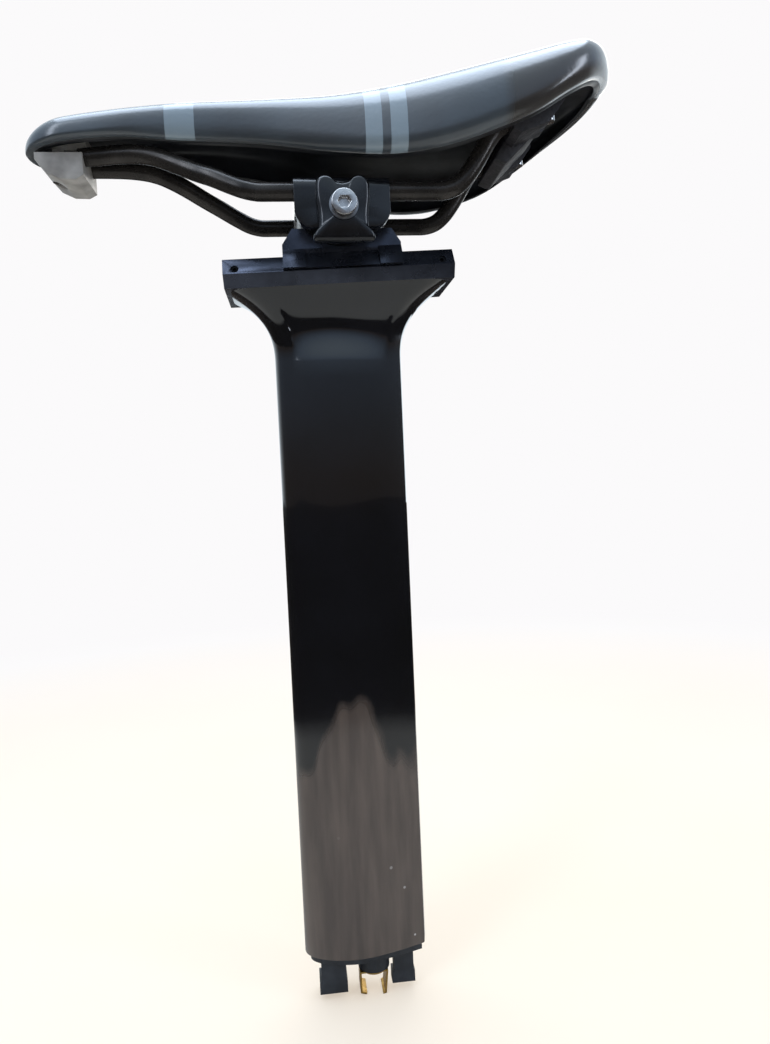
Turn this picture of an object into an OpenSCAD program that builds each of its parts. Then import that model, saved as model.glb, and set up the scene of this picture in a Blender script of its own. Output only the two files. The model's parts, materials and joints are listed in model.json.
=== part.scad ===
// Aero seatpost with a sliding saddle clamp and a saddle on round rails.
// +Z runs up the post, -X points to the nose of the saddle, and the origin is
// the middle of the insertion end of the tube.

/* [Post tube] */
// Chord of the aero section, front to back
chord = 51.8; // [40:0.5:60]
// Thickness of the aero section at its widest
thickness = 22; // [18:0.5:28]
// Length of the straight tube
tube_len = 246; // [150:1:380]
// Carbon wall of the tube
wall = 2.2; // [1.5:0.1:3.5]
// Height of the flare between the tube and the head rail
flare_h = 28.5; // [20:0.5:40]

/* [Head rail] */
// Length of the head rail
rail_len = 89.5; // [75:0.5:115]
// Width of the head rail at its widest line
rail_w = 39.6; // [36:0.2:46]
// Height of the head rail
rail_h = 11.3; // [9:0.1:14]
// Rise of the head rail towards the tail, in degrees
head_tilt = 1.9; // [0:0.1:6]
// Middle of the head rail, behind the tube's middle
head_x = 1.2; // [-4:0.1:6]

/* [Saddle clamp] */
// Middle of the clamp, behind the tube's middle
clamp_x = 2.4; // [-6:0.1:10]
// Diameter of the saddle rails
rail_d = 7; // [7:0.1:9]
// Distance between the middles of the saddle rails
rail_gap = 44; // [40:0.5:48]
// Height of the saddle rails over the top of the head rail
rail_rise = 21.6; // [19:0.1:28]
// Length of the clamp jaws along the saddle rails
jaw_len = 36; // [28:0.5:44]
// Radius of the round underside that the tilt turns on
rocker_r = 19; // [16:0.1:22]
// Clamp bolt, nominal diameter
bolt_d = 6; // [5:0.5:7]

/* [Saddle] */
// Reach of the nose ahead of the clamp
nose_reach = 119.5; // [100:0.5:150]
// Reach of the tail behind the clamp
tail_reach = 111; // [95:0.5:140]
// Widest half-width of the saddle
half_w = 48; // [40:0.5:75]
// Thickness of the saddle cover
cover_t = 1.4; // [1:0.1:2.5]

/* [End plug] */
// Depth of the plug in the tube
plug_depth = 18; // [10:0.5:40]
// Length of the plug's legs below the tube
leg_len = 16.5; // [10:0.5:30]

/* [Hidden] */
$fn = 64;
run_fit = 0.06;                       // clearance of a running fit
air = 0.3;                            // clearance of parts that only pass each other
head_z = tube_len + flare_h;          // underside of the head rail at the tube's middle
rail_top = head_z + rail_h;
axis_z = rail_top + rail_rise;        // tilt axis, level with the saddle rails
bolt_z = axis_z - rail_d / 2 - bolt_d / 2 - 1.8;   // clamp bolt, just under the rails
nose_part = 0.44;                     // share of the chord ahead of the widest point
tail_half = 0.27;                     // half-thickness of the cut-off tail, share of the widest
foil_n = 28;                          // points on each side of the aero section

// half-thickness of the aero section, u from 0 at the nose to 1 at the tail
function foil_half(u) = u < nose_part
    ? sqrt(max(0, 1 - pow((nose_part - u) / nose_part, 2)))
    : 1 - (1 - tail_half) * pow((u - nose_part) / (1 - nose_part), 1.45);
// outline of the aero section, set in by a wall of t
function foil(t) = let (c = chord - 2 * t, h = thickness / 2 - t)
    concat([for (i = [0:foil_n]) let (u = (1 - cos(90 * i / foil_n)))
                [c * (u - 0.5), -h * foil_half(u)]],
           [for (i = [foil_n:-1:1]) let (u = (1 - cos(90 * i / foil_n)))
                [c * (u - 0.5), h * foil_half(u)]]);

// closed surface through rings of equal count; the first and last ring are capped
module loft(rings) {
    n = len(rings[0]);
    k = len(rings);
    last = (k - 1) * n;
    polyhedron(points = [for (r = rings) each r],
        faces = concat([[for (j = [0:n - 1]) j]],
            [for (i = [0:k - 2], j = [0:n - 1]) let (q = (j + 1) % n)
                each [[i * n + j, (i + 1) * n + j, (i + 1) * n + q],
                      [i * n + j, (i + 1) * n + q, i * n + q]]],
            [[for (j = [n - 1:-1:0]) last + j]]));
}

// closed layer between two grids of points, out and in, each a list of rows
module layer(out, in) {
    k = len(out);
    n = len(out[0]);
    b = k * n;
    polyhedron(points = concat([for (r = out) each r], [for (r = in) each r]),
        faces = concat(
            [for (i = [0:k - 2], j = [0:n - 2]) each [
                [i * n + j, (i + 1) * n + j + 1, (i + 1) * n + j],
                [i * n + j, i * n + j + 1, (i + 1) * n + j + 1],
                [b + i * n + j, b + (i + 1) * n + j, b + (i + 1) * n + j + 1],
                [b + i * n + j, b + (i + 1) * n + j + 1, b + i * n + j + 1]]],
            [for (i = [0:k - 2]) let (p = i * n, q = p + n, r = p + n - 1, t = q + n - 1) each [
                [p, q, b + q], [p, b + q, b + p], [t, r, b + r], [t, b + r, b + t]]],
            [for (j = [0:n - 2]) let (e = (k - 1) * n) each [
                [j + 1, j, b + j], [j + 1, b + j, b + j + 1],
                [e + j, e + j + 1, b + e + j + 1], [e + j, b + e + j + 1, b + e + j]]]));
}

// round bar swept along points, with s sides
module bar(path, r, s) {
    n = len(path);
    function along(i) = let (a = path[max(0, i - 1)], b = path[min(n - 1, i + 1)]) (b - a) / norm(b - a);
    loft([for (i = [0:n - 1]) let (t = along(i), v = cross(t, [0, 1, 0]), side = v / norm(v),
            up = cross(t, side))
        [for (j = [0:s - 1]) path[i] + r * (cos(360 * j / s) * side + sin(360 * j / s) * up)]]);
}

// smooth curve through a table of [x, value] pairs
function slope(t, i) = i == 0 ? (t[1][1] - t[0][1]) / (t[1][0] - t[0][0])
    : i == len(t) - 1 ? (t[i][1] - t[i - 1][1]) / (t[i][0] - t[i - 1][0])
    : ((t[i + 1][1] - t[i][1]) / (t[i + 1][0] - t[i][0])
        + (t[i][1] - t[i - 1][1]) / (t[i][0] - t[i - 1][0])) / 2;
function seg(t, x, i = 0) = i >= len(t) - 2 || x < t[i + 1][0] ? i : seg(t, x, i + 1);
function curve(t, x) = let (i = seg(t, x), h = t[i + 1][0] - t[i][0],
        s = max(0, min(1, (x - t[i][0]) / h)))
    (2 * s * s * s - 3 * s * s + 1) * t[i][1] + (s * s * s - 2 * s * s + s) * h * slope(t, i)
    + (3 * s * s - 2 * s * s * s) * t[i + 1][1] + (s * s * s - s * s) * h * slope(t, i + 1);

// place children in the frame of the tilted head: origin on the rail's underside
module head_frame() translate([0, 0, head_z]) rotate([0, -head_tilt, 0]) translate([head_x, 0, 0]) children();
// place children in the clamp's frame: origin on the tilt axis
module clamp_frame() translate([clamp_x, 0, axis_z]) children();

/* ---- post ---- */
flare_rows = 14;
lid_rows = 3;                         // flare rows left solid under the head rail
foot_half = 17;                       // half-width of the flare's top and the rail's underside
head_foot_len = rail_len - 4;
// point p moved out to a rounded rectangle of half-sizes a and b, in the same direction
function corner(p, a, b) = let (m = pow(pow(abs(p[0]) / a, 7) + pow(abs(p[1]) / b, 7), 1 / 7))
    [p[0] / m, p[1] / m];
// ring of the flare at share s of its height, set in by a wall of t
function flare_ring(s, t) = let (k = pow(s, 2.7), z = tube_len + flare_h * s,
        a = head_foot_len / 2 - t, b = foot_half - t)
    [for (p = foil(t)) let (q = corner([p[0] / chord * a * 2, p[1] / thickness * b * 2], a, b),
            x = p[0] + (q[0] + head_x - p[0]) * k, y = p[1] + (q[1] - p[1]) * k)
        [x, y, z + s * x * tan(head_tilt)]];
notch_w = 4.8;                        // slot in the plug's near side
plug_x = 2.9;                         // middle of the plug's round boss
module post_shell() {
    out = concat([[for (p = foil(0)) [p[0], p[1], 0]]],
        [for (i = [0:flare_rows]) flare_ring(i / flare_rows, 0)]);
    in = concat([[for (p = foil(wall)) [p[0], p[1], 0]]],
        [for (i = [0:flare_rows - lid_rows]) flare_ring(i / flare_rows, wall)]);
    n = len(out[0]);
    k = len(out);
    m = len(in);
    b = k * n;
    top = (k - 1) * n;
    roof = b + (m - 1) * n;
    hub = b + m * n;                  // middle of the lid's top, and one past it of its underside
    polyhedron(points = concat([for (r = out) each r], [for (r = in) each r],
            [[0, 0, head_z], [0, 0, tube_len + flare_h * (1 - lid_rows / flare_rows)]]),
        faces = concat(
            [for (i = [0:k - 2], j = [0:n - 1]) let (q = (j + 1) % n) each [
                [i * n + j, (i + 1) * n + j, (i + 1) * n + q],
                [i * n + j, (i + 1) * n + q, i * n + q]]],
            [for (i = [0:m - 2], j = [0:n - 1]) let (q = (j + 1) % n) each [
                [b + i * n + j, b + (i + 1) * n + q, b + (i + 1) * n + j],
                [b + i * n + j, b + i * n + q, b + (i + 1) * n + q]]],
            [for (j = [0:n - 1]) let (q = (j + 1) % n) each [[j, q, b + q], [j, b + q, b + j]]],
            [for (j = [0:n - 1]) [hub, top + (j + 1) % n, top + j]],
            [for (j = [0:n - 1]) [hub + 1, roof + j, roof + (j + 1) % n]]));
}
module post() color("#1b1c20") post_shell();

/* ---- plug in the insertion end ---- */
rim_h = 3;                            // plug showing below the tube
toe_h = 5.1;
boss_r = 6.6;
boss_h = 9;
insert_r = 4;
insert_bore_r = 2.1;
clip_t = 0.7;
module leg(x0, x1, half_y) {
    translate([x0, -half_y, -leg_len + toe_h - 0.1]) cube([x1 - x0, 2 * half_y, leg_len - toe_h]);
    translate([x0 - 0.9, -half_y, -leg_len]) cube([x1 - x0 + 1.4, 2 * half_y, toe_h]);
}
module end_plug() color("#2b2c2f") difference() {
    union() {
        translate([0, 0, -rim_h]) linear_extrude(plug_depth + rim_h) polygon(foil(wall + 0.05));
        leg(-19.6, -9.3, 5.4);
        leg(11.2, 19.6, 3);
        translate([plug_x, 0, -boss_h]) cylinder(r = boss_r, h = boss_h);
    }
    translate([plug_x, 0, -boss_h - 1]) cylinder(r = insert_r + run_fit, h = boss_h + 6);
    translate([plug_x - notch_w / 2, -thickness, -rim_h - 4])
        cube([notch_w, thickness - boss_r, 4.6]);
}
module brass_insert() color("#b08a45") translate([plug_x, 0, 0]) difference() {
    union() {
        translate([0, 0, -boss_h - clip_t - 1]) cylinder(r = insert_r, h = boss_h + clip_t + 5);
        translate([0, 0, -boss_h - clip_t - 1.06]) cylinder(r = insert_r + 0.8, h = 1);
    }
    translate([0, 0, -boss_h - clip_t - 3]) cylinder(r = insert_bore_r, h = boss_h + 9);
}
clip_half = 5.6;
clip_drop = 9.4;
module plug_clip() color("#c9a35a") translate([plug_x - 0.8, 0, -boss_h - clip_t - 0.03]) difference() {
    across_y(-5, 5) polygon([[-clip_half, clip_t], [clip_half + 0.8, clip_t],
        [clip_half + 0.8, 0], [clip_half - 0.2, -clip_drop], [clip_half - 1.8, -clip_drop - 0.3],
        [clip_half - 1.8, -clip_drop + 0.3], [clip_half - 0.9, -clip_drop + 0.6], [clip_half + 0.1, 0],
        [-clip_half + 0.7, 0], [-clip_half + 0.7, -clip_drop + 1.6], [-clip_half + 2.8, -clip_drop + 1],
        [-clip_half + 2.4, -clip_drop + 0.3], [-clip_half, -clip_drop + 1]]);
    translate([0.8, 0, -1]) cylinder(r = insert_r + run_fit, h = 4);
}

/* ---- head rail ---- */
line_z = 4.8;                         // height of the widest line
top_half = rail_w / 2 - 4.2;          // half-width of the rail's top
slot_half = 3.1;                      // T-slot: half-width of the mouth
pocket_half = 7.2;                    // T-slot: half-width inside
pocket_z0 = 3.4;
pocket_z1 = 8.3;
stop_in = 4.6;                        // stop screws, in from the rail's ends
module rail_section(grow) polygon([[-foot_half - grow, -grow], [foot_half + grow, -grow],
    [rail_w / 2 + grow, line_z], [top_half + grow, rail_h + grow], [-top_half - grow, rail_h + grow],
    [-rail_w / 2 - grow, line_z]]);
module along_x(len) rotate([90, 0, 90]) translate([0, 0, -len / 2]) linear_extrude(len) children();
module head_rail() color("#6f7f9c") head_frame() difference() {
    along_x(rail_len) rail_section(0);
    along_x(rail_len + 2) translate([-slot_half, pocket_z0]) square([2 * slot_half, rail_h]);
    along_x(rail_len + 2) translate([-pocket_half, pocket_z0])
        square([2 * pocket_half, pocket_z1 - pocket_z0]);
    for (e = [-1, 1]) translate([e * (rail_len / 2 - stop_in), -rail_w / 2, line_z + 2.1])
        rotate([-90, 0, 0]) cylinder(r = stop_d / 2, h = rail_w / 2 - pocket_half + 1);
}
stop_d = 3;
stop_sink = 2.9;                      // stop screw's outer end, in from the widest line
module rail_stop(e) color("#202226") head_frame()
    translate([e * (rail_len / 2 - stop_in), -rail_w / 2 + stop_sink, line_z + 2.1]) rotate([-90, 0, 0])
    difference() {
        cylinder(r = stop_d / 2 - run_fit, h = rail_w / 2 - stop_sink - pocket_half + 3.4);
        translate([0, 0, -0.1]) cylinder(r = 0.85, h = 1.6, $fn = 6);
    }
module rail_stop_front() rail_stop(-1);
module rail_stop_rear() rail_stop(1);

/* ---- carriage on the head rail ---- */
carriage_half = 23.2;                 // half-length over the feet
foot_in = 14.2;                       // inner edge of each foot
cradle_r = rocker_r + run_fit;
horn_z = rail_top + 9.4;              // top of the horns beside the rocker
horn_taper = 4;                       // how far each horn leans in to its top
horn_half_y = rail_gap / 2 - rail_d / 2 - 1;
skirt_z = line_z + 0.7;
web = axis_z - cradle_r - rail_top;   // carriage under the rocker
module carriage_section(t) polygon([[-rail_w / 2 - t + 0.3, skirt_z], [rail_w / 2 + t - 0.3, skirt_z],
    [top_half + t, rail_h + 0.6], [horn_half_y, rail_h + 2.2], [horn_half_y, rail_h + 14],
    [-horn_half_y, rail_h + 14], [-horn_half_y, rail_h + 2.2], [-top_half - t, rail_h + 0.6]]);
// the carriage's stretch of the head frame, its origin under the clamp
module carriage_frame() head_frame() translate([clamp_x - head_x, 0, 0]) children();
module carriage() color("#3a3c44") difference() {
    intersection() {
        carriage_frame() union() {
            along_x(2 * carriage_half - 1.2) carriage_section(1.5);
            for (e = [-1, 1]) translate([e * (carriage_half + foot_in) / 2, 0, 0])
                along_x(carriage_half - foot_in) carriage_section(2.9);
        }
        translate([clamp_x, horn_half_y + 10, 0]) rotate([90, 0, 0]) linear_extrude(2 * horn_half_y + 20)
            polygon([[-carriage_half, 0], [carriage_half, 0], [carriage_half, horn_z - horn_taper * 1.5],
                [carriage_half - horn_taper, horn_z], [-carriage_half + horn_taper, horn_z],
                [-carriage_half, horn_z - horn_taper * 1.5]]);
    }
    head_frame() along_x(2 * rail_len) rail_section(run_fit);
    clamp_frame() rotate([90, 0, 0]) cylinder(r = cradle_r, h = 60, center = true, $fn = 96);
    translate([clamp_x, 0, head_z]) cylinder(r = carriage_bolt_d / 2 + run_fit, h = 60);
    translate([clamp_x, 0, seat_z]) cylinder(r = 6.4, h = 12);
}
carriage_bolt_d = 5;
washer_h = 0.7;
seat_z = rail_top + web;              // seat of the carriage washer, at the cradle's lowest line
head_top = seat_z + washer_h + 2.5;
module carriage_washer() color("#b9bcc2") translate([clamp_x, 0, seat_z]) difference() {
    cylinder(r = 4.9, h = washer_h);
    translate([0, 0, -1]) cylinder(r = carriage_bolt_d / 2 + run_fit, h = 3);
}
module carriage_bolt() color("#c8cbd0") translate([clamp_x, 0, 0]) difference() {
    union() {
        translate([0, 0, head_z + pocket_z0 + 0.5]) cylinder(r = carriage_bolt_d / 2,
            h = seat_z + washer_h + 0.1 - head_z - pocket_z0);
        translate([0, 0, seat_z + washer_h]) cylinder(r = 4.4, h = head_top - seat_z - washer_h);
    }
    translate([0, 0, head_top - 1.5]) cylinder(r = 1.75, h = 3, $fn = 6);
}
module t_nut() color("#a7a9ae") difference() {
    carriage_frame() translate([-8, -pocket_half + 0.15, pocket_z0 + 0.7])
        cube([16, 2 * pocket_half - 0.3, pocket_z1 - pocket_z0 - 0.75]);
    translate([clamp_x, 0, head_z]) cylinder(r = carriage_bolt_d / 2 + run_fit, h = 30);
}

/* ---- saddle clamp ---- */
rail_y = rail_gap / 2;
groove_r = rail_d / 2 + run_fit;
body_half_y = rail_y - 0.6;           // rocker reaches almost to the rails' middles
jaw_in = rail_y + 0.6;
jaw_out = rail_y + 5;
plate_out = rail_y + 10.4;
plate_in = jaw_out + 0.05;
bolt_rel = bolt_z - axis_z;
rocker_top = 1.5;                     // rocker's top over the rails' middles
shoulder_z = -8.2;                    // where the rocker widens over the horns
rocker_half = jaw_len / 2;
pocket_len = 17.2;                    // rocker's pocket over the carriage bolt, room for the tilt
head_air = 1.46;                      // air over the carriage bolt's head
module across_y(y0, y1) translate([0, y1, 0]) rotate([90, 0, 0]) linear_extrude(y1 - y0) children();
module bolt_bore(r) translate([0, 0, bolt_rel]) rotate([90, 0, 0]) cylinder(r = r, h = 120, center = true);
module clamp_rocker() color("#24262b") clamp_frame() difference() {
    union() {
        intersection() {
            across_y(-horn_half_y + 0.2, horn_half_y - 0.2) circle(r = rocker_r, $fn = 96);
            translate([-rocker_half, -30, -30]) cube([jaw_len, 60, 31.5]);
        }
        translate([-rocker_half, -body_half_y, shoulder_z])
            cube([jaw_len, 2 * body_half_y, rocker_top - shoulder_z]);
    }
    for (s = [-1, 1]) translate([0, s * rail_y, 0]) rotate([0, 90, 0])
        cylinder(r = groove_r, h = 60, center = true);
    bolt_bore(bolt_d / 2 + run_fit);
    translate([-pocket_len / 2, -6.8, -30]) cube([pocket_len, 13.6, 30 + head_top - axis_z + head_air]);
}
module jaw(s) clamp_frame() mirror([0, s > 0 ? 1 : 0, 0]) intersection() {
    difference() {
        union() {
            translate([0, -rail_y, 0]) rotate([0, 90, 0])
                cylinder(r = jaw_out - rail_y, h = jaw_len, center = true);
            translate([-rocker_half, -jaw_out, -14.4]) cube([jaw_len, jaw_out - jaw_in, 14.4]);
        }
        translate([0, -rail_y, 0]) rotate([0, 90, 0]) cylinder(r = groove_r, h = 60, center = true);
        translate([-30, -jaw_in, -30]) cube([60, 60, 60]);
        translate([-30, -60, 4.1]) cube([60, 60, 60]);
        bolt_bore(bolt_d / 2 + run_fit);
    }
    across_y(-40, 0) union() {
        translate([-rocker_half, -8]) square([jaw_len, 20]);
        for (e = [-1, 1]) translate([e * (rocker_half - 6.4), -8]) circle(r = 6.4);
        translate([-rocker_half + 6.4, -14.4]) square([jaw_len - 12.8, 8]);
    }
}
module clamp_jaw_near() color("#2c2e34") jaw(-1);
module clamp_jaw_far() color("#2c2e34") jaw(1);
// outline of the outer plate: two lobes on top, a waist and a flared foot
plate_top = 3.3;
plate_low = -20.6;
module plate_outline() polygon([[0, plate_top - 2.5], [2.4, plate_top - 1.6], [4.6, plate_top],
    [8.2, plate_top + 0.1], [10.6, plate_top - 1.2], [9.9, plate_top - 6], [8.7, -11], [9.4, -15],
    [12, plate_low + 1.4], [11.2, plate_low], [-11.2, plate_low], [-12, plate_low + 1.4], [-9.4, -15],
    [-8.7, -11], [-9.9, plate_top - 6], [-10.6, plate_top - 1.2], [-8.2, plate_top + 0.1],
    [-4.6, plate_top], [-2.4, plate_top - 1.6]]);
module clamp_plate_near() color("#141519") clamp_frame() difference() {
    across_y(-plate_out, -plate_in) plate_outline();
    bolt_bore(bolt_d / 2 + run_fit);
}
nut_half = 5;
module clamp_plate_far() color("#141519") clamp_frame() difference() {
    across_y(plate_in, plate_out) plate_outline();
    bolt_bore(bolt_d / 2 + run_fit);
    translate([0, 0, bolt_rel]) rotate([-90, 0, 0]) translate([0, 0, plate_out - 3.6])
        cylinder(r = nut_half / cos(30) + 0.15, h = 10, $fn = 6);
}
module clamp_nut() color("#c8cbd0") clamp_frame()
    translate([0, plate_out - 3.5, bolt_rel]) rotate([-90, 0, 0]) difference() {
        cylinder(r = nut_half / cos(30), h = 4.6, $fn = 6);
        translate([0, 0, -1]) cylinder(r = bolt_d / 2 + run_fit, h = 10);
    }
washer_t = 0.8;
module clamp_washer() color("#8f9298") clamp_frame() translate([0, -plate_out, bolt_rel]) rotate([90, 0, 0])
    difference() {
        cylinder(r = 5.4, h = washer_t);
        translate([0, 0, -1]) cylinder(r = bolt_d / 2 + run_fit, h = 4);
    }
bolt_head_r = 4.75;
bolt_head_h = 3.4;
module clamp_bolt() color("#d7d8db") clamp_frame()
    translate([0, 0, bolt_rel]) rotate([90, 0, 0]) difference() {
    union() {
        translate([0, 0, -plate_out - 1]) cylinder(r = bolt_d / 2, h = 2 * plate_out + washer_t + 1.5);
        translate([0, 0, plate_out + washer_t + 0.02]) cylinder(r = bolt_head_r, h = bolt_head_h);
    }
    translate([0, 0, plate_out + washer_t + bolt_head_h - 2.2]) cylinder(r = 2.31, h = 4, $fn = 6);
}

/* ---- saddle rails ---- */
straight_front = -31.7;               // ends of the rails' straight part, from the clamp
straight_rear = 37.8;
rail_sides = 16;
// front and rear stretch of a rail: along, out from the middle, up, from the clamp's frame
front_path = [[straight_front + 2, rail_y, 0], [straight_front, rail_y, 0.1], [-36, 21.6, 1.1],
    [-41.2, rail_y - 1.9, 3.4], [-48, 17.9, 6.9], [-54.7, 15, 10.1], [-61, 12.7, 13.4],
    [-66.5, 11.2, 16], [-71, 10.2, 17.7], [-75.5, 9.3, 18.7], [-82, 8.1, 19.2], [-90, 6.8, 19.1],
    [-98.5, 5.8, 18.8]];
rear_path = [[straight_rear - 2, rail_y, 0], [straight_rear, rail_y, 0.05], [41, rail_y, 0.5],
    [44.4, rail_y, 1.9], [48, rail_y, 5], [51.4, rail_y, 9.3], [54.6, rail_y, 14.1],
    [57.6, rail_y, 18.9], [60.6, rail_y, 22.6], [64.4, rail_y, 25.2], [69, rail_y, 26.6],
    [76, rail_y, 27.6]];
module saddle_rail(s) clamp_frame() mirror([0, s < 0 ? 1 : 0, 0]) union() {
    translate([straight_front, rail_y, 0]) rotate([0, 90, 0])
        cylinder(r = rail_d / 2, h = straight_rear - straight_front);
    bar(front_path, rail_d / 2 - 0.01, rail_sides);
    bar(rear_path, rail_d / 2 - 0.01, rail_sides);
}
module saddle_rail_near() color("#4a4c50") saddle_rail(-1);
module saddle_rail_far() color("#4a4c50") saddle_rail(1);

/* ---- saddle body ---- */
// tables along the saddle, from the clamp: half-width as a share, and heights over the rails
width_table = [[-120, 0.36], [-97, 0.375], [-64, 0.41], [-29, 0.50], [-1, 0.65], [22, 0.80],
    [42, 0.92], [60, 0.99], [72, 1], [84, 0.965], [97, 0.86], [112, 0.7]];
edge_table = [[-120, 21], [-97, 24], [-64, 27], [-29, 24.6], [-1, 18.8], [22, 15.2], [40, 16.6],
    [60, 22.4], [72, 27.6], [84, 35], [97, 42], [112, 46]];
crown_table = [[-120, 29], [-97, 33.6], [-64, 37], [-29, 38], [-1, 38.6], [22, 41], [42, 44.2],
    [60, 47.4], [72, 49.8], [84, 52.4], [97, 55.2], [112, 57]];
rim_table = [[-120, 19.4], [-97, 22.4], [-80, 23], [-64, 21.6], [-29, 18.4], [-1, 13], [22, 10],
    [40, 11.4], [60, 17], [72, 22], [84, 29.4], [97, 37], [112, 42]];
round_nose = 17;
round_tail = 22;
rows = 18;
cols = 10;                            // points on each half of a row
shoulder = 0.72;                      // share of a half row that lies over the widest edge
tuck = 0.1;                           // how far the rim turns in, share of the half-width
foam_drop = 6.6;                      // foam's underside below the crown
shell_t = 2.2;
side_foam = 1.3;                      // foam at the sides
// size left where the nose and the tail round off, for a surface set in by dw
function ends(x, dw) = sqrt(max(0.004, 1 - pow(max(0, (round_nose - nose_reach + dw - x) / round_nose), 2)))
    * sqrt(max(0.004, 1 - pow(max(0, (x - tail_reach + dw + round_tail) / round_tail), 2)));
function side(x, dw) = half_w * curve(width_table, x) - dw;
function edge_z(x) = curve(edge_table, x);
function rise(x, drop) = let (h = curve(crown_table, x) - edge_z(x)) h * exp(-drop / h);
// one row of a surface set in by dw at the sides and lying drop under the crown
function row(x, dw, drop, lift) = let (e = ends(x, dw), w = side(x, dw) * e, ez = edge_z(x),
        up = rise(x, drop) * e, down = (ez - curve(rim_table, x) - lift) * e)
    [for (j = [-cols:cols]) let (u = j / cols, sg = u < 0 ? -1 : 1, a = abs(u), v = a <= shoulder
            ? 90 * a / shoulder : 90 * (a - shoulder) / (1 - shoulder))
        a <= shoulder ? [x, sg * w * pow(sin(v), 0.66), ez + up * pow(cos(v), 0.74)]
            : [x, sg * w * (1 - tuck * (1 - cos(v))), ez - down * sin(v)]];
function saddle_rows(dw, drop, lift) = let (x0 = -nose_reach + dw, x1 = tail_reach - dw)
    [for (i = [0:rows]) row((x0 + x1 - (x1 - x0) * cos(180 * i / rows)) / 2, dw, drop, lift)];
module saddle_layer(a, b) clamp_frame() layer(saddle_rows(a[0], a[1], a[2]), saddle_rows(b[0], b[1], b[2]));
foam_in = cover_t + side_foam;
gap = 0.05;
module saddle_cover() color("#20242a") saddle_layer([0, 0, 0], [cover_t, cover_t, 0.1]);
module saddle_foam() color("#5b5d60")
    saddle_layer([cover_t + gap, cover_t + gap, 0.15], [foam_in, foam_drop, 0.2]);
module saddle_shell() color("#1a1a1d")
    saddle_layer([foam_in + gap, foam_drop + gap, 0.25], [foam_in + shell_t, foam_drop + shell_t, 0.3]);
// height of the shell's inner surface at x, y
function under_shell(x, y) = let (dw = foam_in + shell_t, e = ends(x, dw),
        q = min(1, abs(y) / (side(x, dw) * e)))
    edge_z(x) + rise(x, foam_drop + shell_t) * e * pow(1 - pow(q, 3.03), 0.37) - air;

/* ---- nose clip and rear sockets ---- */
clip_x0 = -nose_reach + 5.5;
clip_x1 = -nose_reach + 23;
clip_top = 19;
tenon_y = 5;
module nose_clip() color("#c9c5c0") clamp_frame() difference() {
    union() {
        across_y(-11, 11) polygon([[clip_x0, clip_top], [clip_x0, 16.4], [clip_x0 + 4, 11.6],
            [clip_x0 + 9, 9.2], [clip_x1 - 3, 9], [clip_x1, 10.6], [clip_x1, clip_top]]);
        across_y(-tenon_y, tenon_y) polygon([[clip_x0 + 5, clip_top - 1], [clip_x1, clip_top - 1],
            [clip_x1, under_shell(clip_x1, tenon_y)], [clip_x0 + 5, under_shell(clip_x0 + 5, tenon_y)]]);
    }
    for (s = [-1, 1]) bar([[clip_x1 - 8, s * 5.5, 18.7], [-90, s * 6.8, 19.1]],
        rail_d / 2 + run_fit, rail_sides);
    translate([clip_x0 + 6, 0, 0]) cylinder(r = nose_screw_d / 2 + run_fit, h = 60);
    translate([clip_x0 + 6, 0, 0]) cylinder(r = 2.8, h = 13.4);
}
nose_screw_d = 3;
module nose_screw() color("#8d8f94") clamp_frame() translate([clip_x0 + 6, 0, 0]) {
    translate([0, 0, 11.6]) cylinder(r = 2.6, h = 1.78);
    translate([0, 0, 13]) cylinder(r = nose_screw_d / 2, h = 6.4);
}
socket_x0 = 66;
socket_x1 = 86;
socket_low = 19.4;
socket_half = 7;
screw_x = 81.4;
module rear_socket(s) clamp_frame() mirror([0, s < 0 ? 1 : 0, 0]) difference() {
    across_y(rail_y - socket_half, rail_y + socket_half) polygon([[socket_x0, socket_low + 1.6],
        [socket_x0 + 3, socket_low], [socket_x1 - 6, socket_low + 4], [socket_x1, socket_low + 12],
        [socket_x1, under_shell(socket_x1, rail_y + socket_half)],
        [socket_x0, under_shell(socket_x0, rail_y + socket_half)]]);
    bar(rear_path, rail_d / 2 + run_fit, rail_sides);
    translate([screw_x, rail_y, 0]) cylinder(r = 1.5 + run_fit, h = 80);
    translate([screw_x, rail_y, 0]) cylinder(r = 3, h = 28);
}
module rear_socket_near() color("#1f2024") rear_socket(-1);
module rear_socket_far() color("#1f2024") rear_socket(1);
module rear_bracket() color("#2a2b2e") clamp_frame() across_y(-bracket_half, bracket_half)
    polygon([[61.5, 15], [66.5, 13.2], [socket_x1 - 4, 28],
        [socket_x1 - 4, under_shell(socket_x1 - 4, bracket_half)],
        [76, under_shell(76, bracket_half)], [70, 30]]);
bracket_half = rail_y - socket_half - gap;
module socket_screws() color("#8d8f94") clamp_frame() for (s = [-1, 1]) translate([screw_x, s * rail_y, 0]) {
    translate([0, 0, 26]) cylinder(r = 2.8, h = 1.98);
    translate([0, 0, 27]) cylinder(r = 1.5, h = 12);
}

post();
head_rail();
rail_stop_front();
rail_stop_rear();
end_plug();
plug_clip();
brass_insert();
t_nut();
carriage();
carriage_washer();
carriage_bolt();
clamp_rocker();
clamp_jaw_near();
clamp_jaw_far();
clamp_plate_near();
clamp_plate_far();
clamp_bolt();
clamp_washer();
clamp_nut();
saddle_rail_near();
saddle_rail_far();
nose_clip();
nose_screw();
rear_socket_near();
rear_socket_far();
rear_bracket();
socket_screws();
saddle_shell();
saddle_foam();
saddle_cover();
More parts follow.
